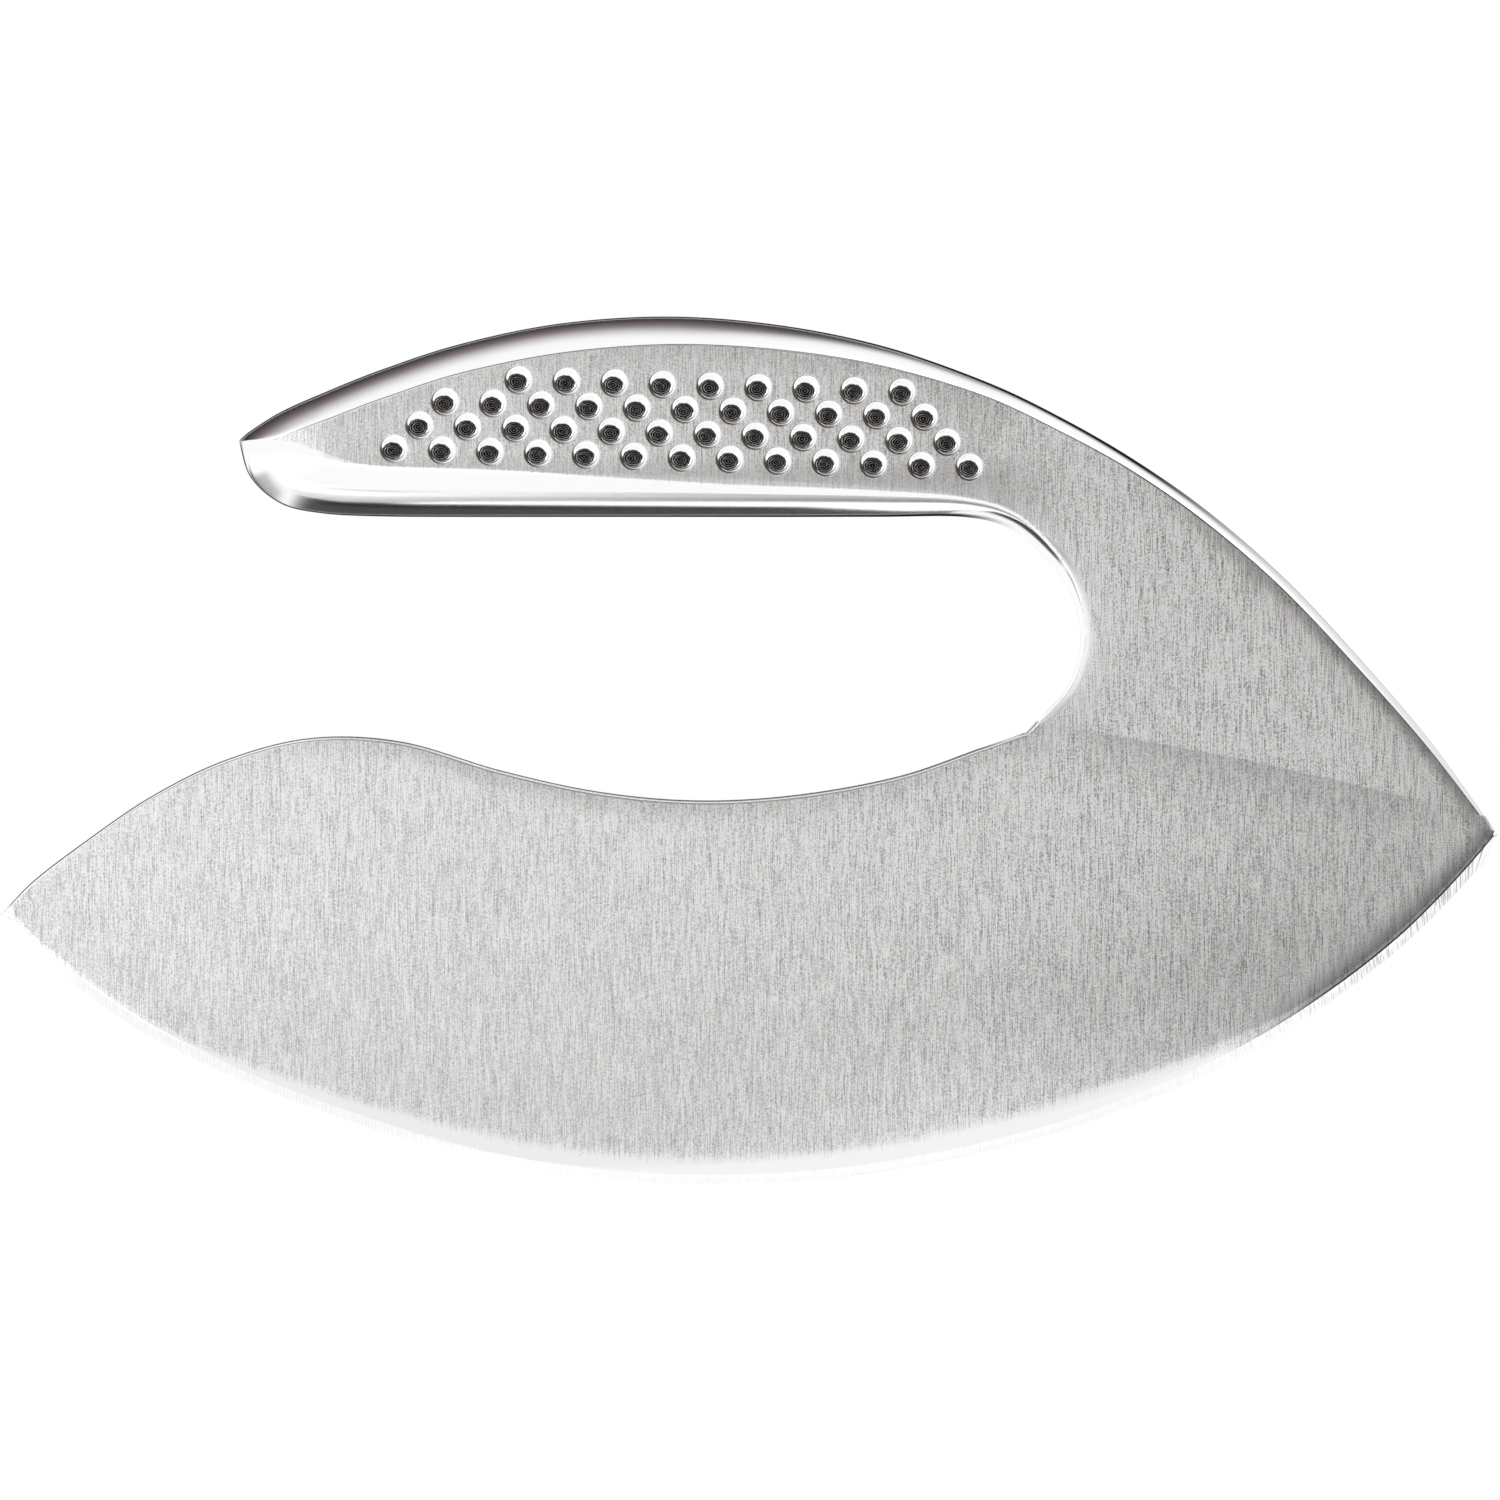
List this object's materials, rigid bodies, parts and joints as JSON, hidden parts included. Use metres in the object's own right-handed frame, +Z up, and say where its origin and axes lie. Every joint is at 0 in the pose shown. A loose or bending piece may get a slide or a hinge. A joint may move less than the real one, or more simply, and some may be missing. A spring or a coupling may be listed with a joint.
{
  "type": "double mezzaluna",
  "caption": "Hand chopper with parallel crescent blades under a hollow, dimpled steel handle that arches back over them.",
  "frame": {"origin": "bottom centre of the bounding box, on the surface that the cutting edges rest on", "axes": "+X from the blades' points to the heel corner, +Y from the near blade to the far blade, +Z up; the near side is the side in the picture"},
  "size_m": [0.179, 0.022, 0.1071],
  "materials": {
    "blade_steel": "satin",
    "handle_steel": "satin",
    "weld_steel": "satin",
    "dull_steel": "matte",
    "fill_sand": "matte"
  },
  "bodies": {
    "root": {"blade_front": "blade_steel", "blade_back": "blade_steel", "handle_shell_front": "handle_steel", "handle_shell_back": "handle_steel", "handle_seam_weld": "weld_steel", "blade_weld_front": "weld_steel", "blade_weld_back": "weld_steel", "arm_floor": "dull_steel", "fill_plug": "dull_steel", "balance_sand": "fill_sand"}
  },
  "joints": []
}
